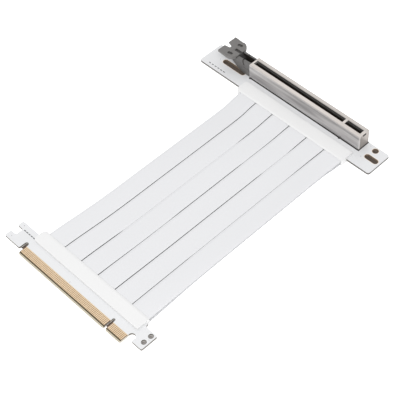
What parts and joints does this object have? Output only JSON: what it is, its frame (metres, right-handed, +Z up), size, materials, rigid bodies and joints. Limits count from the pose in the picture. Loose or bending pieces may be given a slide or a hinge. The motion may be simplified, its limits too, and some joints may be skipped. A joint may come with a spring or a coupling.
{
  "type": "gpu riser cable",
  "caption": "Flat ribbon riser cable with a card edge plug board at one end and a shielded card slot with retention latch on a circuit board at the other.",
  "frame": {"origin": "centre of the part's box at the undersides of the boots, which it rests on", "axes": "+X along both connectors from the latch end to the short section, +Y along the cable from plug to slot, +Z up, the way a card is drawn out of the slot"},
  "size_m": [0.1404, 0.201, 0.014],
  "materials": {
    "board_white": "satin white solder mask",
    "boot_white": "satin moulded white",
    "ribbon_white": "satin white sleeve",
    "housing_grey": "satin moulded grey",
    "latch_grey": "satin moulded grey",
    "shield_steel": "brushed sheet"
  },
  "bodies": {
    "riser": {"plug_board": "board_white", "plug_boot_upper": "boot_white", "plug_boot_lower": "boot_white", "slot_board": "board_white", "slot_boot_upper": "boot_white", "slot_boot_lower": "boot_white", "slot_housing": "housing_grey", "slot_shield": "shield_steel", "ribbon_upper_1": "ribbon_white", "ribbon_upper_2": "ribbon_white", "ribbon_upper_3": "ribbon_white", "ribbon_upper_4": "ribbon_white", "ribbon_upper_5": "ribbon_white", "ribbon_upper_6": "ribbon_white", "ribbon_lower_1": "ribbon_white", "ribbon_lower_2": "ribbon_white", "ribbon_lower_3": "ribbon_white", "ribbon_lower_4": "ribbon_white", "ribbon_lower_5": "ribbon_white", "ribbon_lower_6": "ribbon_white"},
    "latch": {"retention_latch": "latch_grey"}
  },
  "joints": [
    {"name": "latch_hinge", "type": "hinge", "parent": "riser", "child": "latch", "pos_m": [-0.04685, 0.09245, 0.0084], "axis": [0, -1, 0], "range_deg": [0, 25]}
  ]
}
